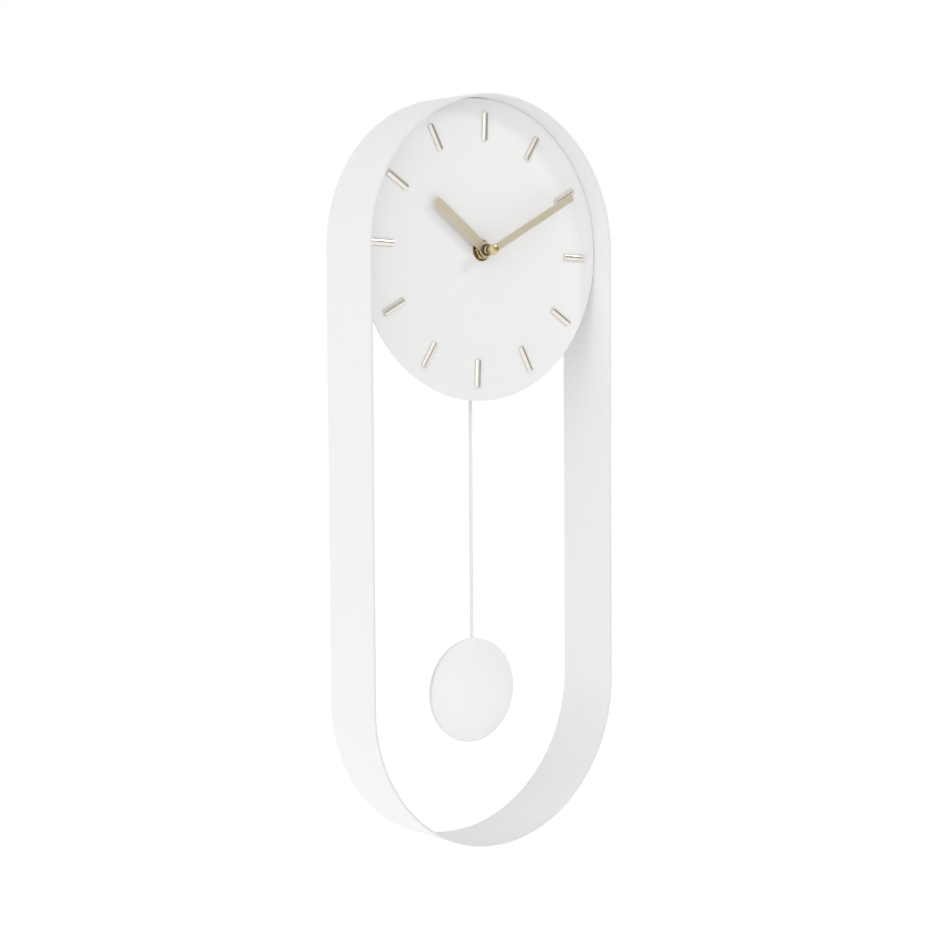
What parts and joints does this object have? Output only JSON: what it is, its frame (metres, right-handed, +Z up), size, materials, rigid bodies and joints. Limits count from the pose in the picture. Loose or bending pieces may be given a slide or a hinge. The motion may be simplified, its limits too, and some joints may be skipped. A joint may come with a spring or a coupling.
{
  "type": "pendulum wall clock",
  "caption": "Stadium-shaped sheet-metal band with a round dial, bar markers, two hands, a geared quartz movement and a swinging disc pendulum.",
  "frame": {"origin": "the nail in the hanger eye, on the wall plane", "axes": "+X right seen from the front, +Y back to the wall, +Z up"},
  "size_m": [0.2, 0.048, 0.49],
  "materials": {
    "white_paint": "satin powder coat",
    "champagne": "fine satin anodised",
    "brass": "polished",
    "steel": "plain",
    "black_plastic": "moulded",
    "gear_plastic": "moulded",
    "rubber": "matt",
    "copper_winding": "enamelled wire",
    "circuit_board": "solder mask",
    "battery_sleeve": "printed sleeve, plain"
  },
  "bodies": {
    "case": {"band": "white_paint", "battery": "battery_sleeve", "battery_contact_negative": "steel", "battery_contact_positive": "steel", "bracket_nut_left": "steel", "bracket_nut_right": "steel", "bracket_nut_top": "steel", "brass_washer": "brass", "circuit_board": "circuit_board", "dial_bracket_left": "steel", "dial_bracket_right": "steel", "dial_bracket_top": "steel", "dial_plate": "white_paint", "drive_coil": "copper_winding", "fixing_nut": "brass", "hanger_plate": "steel", "marker_01": "champagne", "marker_02": "champagne", "marker_03": "champagne", "marker_04": "champagne", "marker_05": "champagne", "marker_06": "champagne", "marker_07": "champagne", "marker_08": "champagne", "marker_09": "champagne", "marker_10": "champagne", "marker_11": "champagne", "marker_12": "champagne", "movement_cover": "black_plastic", "movement_housing": "black_plastic", "pendulum_pivot_pin": "steel", "quartz_crystal": "steel", "rubber_washer": "rubber", "stator": "steel", "stepper_coil": "copper_winding", "threaded_bush": "brass", "train_bridge": "gear_plastic"},
    "minute_body": {"minute_arbor": "brass", "minute_hand": "champagne", "minute_collet": "brass", "cap_nut": "brass"},
    "hour_body": {"hour_wheel": "gear_plastic", "hour_hand": "champagne", "hour_collet": "brass"},
    "reduction_body": {"reduction_wheel": "gear_plastic"},
    "knob_body": {"setting_knob": "black_plastic"},
    "rotor_body": {"rotor": "steel"},
    "step_body": {"step_wheel": "gear_plastic"},
    "transfer_body": {"transfer_wheel": "gear_plastic"},
    "third_body": {"third_wheel": "gear_plastic"},
    "centre_body": {"centre_wheel": "gear_plastic"},
    "pendulum": {"pendulum_arm": "black_plastic", "pendulum_magnet": "steel", "pendulum_rod": "white_paint", "bob_front_shell": "white_paint", "bob_back_plate": "white_paint", "rod_socket": "black_plastic"}
  },
  "joints": [
    {"name": "minute_hand_turn", "type": "hinge", "parent": "case", "child": "minute_body", "pos_m": [0, 0, -0.04], "axis": [0, 1, 0], "continuous": true},
    {"name": "hour_hand_turn", "type": "hinge", "parent": "case", "child": "hour_body", "pos_m": [0, 0, -0.04], "axis": [0, 1, 0], "continuous": true},
    {"name": "reduction_wheel_turn", "type": "hinge", "parent": "case", "child": "reduction_body", "pos_m": [-0.00789, 0, -0.04287], "axis": [0, 1, 0], "continuous": true},
    {"name": "setting_knob_turn", "type": "hinge", "parent": "case", "child": "knob_body", "pos_m": [-0.01754, 0, -0.04457], "axis": [0, 1, 0], "continuous": true},
    {"name": "rotor_turn", "type": "hinge", "parent": "case", "child": "rotor_body", "pos_m": [-0.00299, 0, -0.02039], "axis": [0, 1, 0], "continuous": true},
    {"name": "step_wheel_turn", "type": "hinge", "parent": "case", "child": "step_body", "pos_m": [-0.01391, 0, -0.02669], "axis": [0, 1, 0], "continuous": true},
    {"name": "transfer_wheel_turn", "type": "hinge", "parent": "case", "child": "transfer_body", "pos_m": [-0.00184, 0, -0.02882], "axis": [0, 1, 0], "continuous": true},
    {"name": "third_wheel_turn", "type": "hinge", "parent": "case", "child": "third_body", "pos_m": [0.00965, 0, -0.0319], "axis": [0, 1, 0], "continuous": true},
    {"name": "centre_wheel_turn", "type": "hinge", "parent": "case", "child": "centre_body", "pos_m": [0, 0, -0.04], "axis": [0, 1, 0], "continuous": true},
    {"name": "pendulum_swing", "type": "hinge", "parent": "case", "child": "pendulum", "pos_m": [0, 0, -0.076], "axis": [0, 1, 0], "range_deg": [-7, 7]}
  ],
  "couplings": [
    {"joint": "hour_hand_turn", "follows": "minute_hand_turn", "ratio": 0.083333},
    {"joint": "reduction_wheel_turn", "follows": "minute_hand_turn", "ratio": -0.33333},
    {"joint": "setting_knob_turn", "follows": "minute_hand_turn", "ratio": 0.6},
    {"joint": "rotor_turn", "follows": "step_wheel_turn", "ratio": -5},
    {"joint": "transfer_wheel_turn", "follows": "step_wheel_turn", "ratio": -0.16667},
    {"joint": "third_wheel_turn", "follows": "step_wheel_turn", "ratio": 0.022222},
    {"joint": "centre_wheel_turn", "follows": "step_wheel_turn", "ratio": -0.0027778}
  ]
}
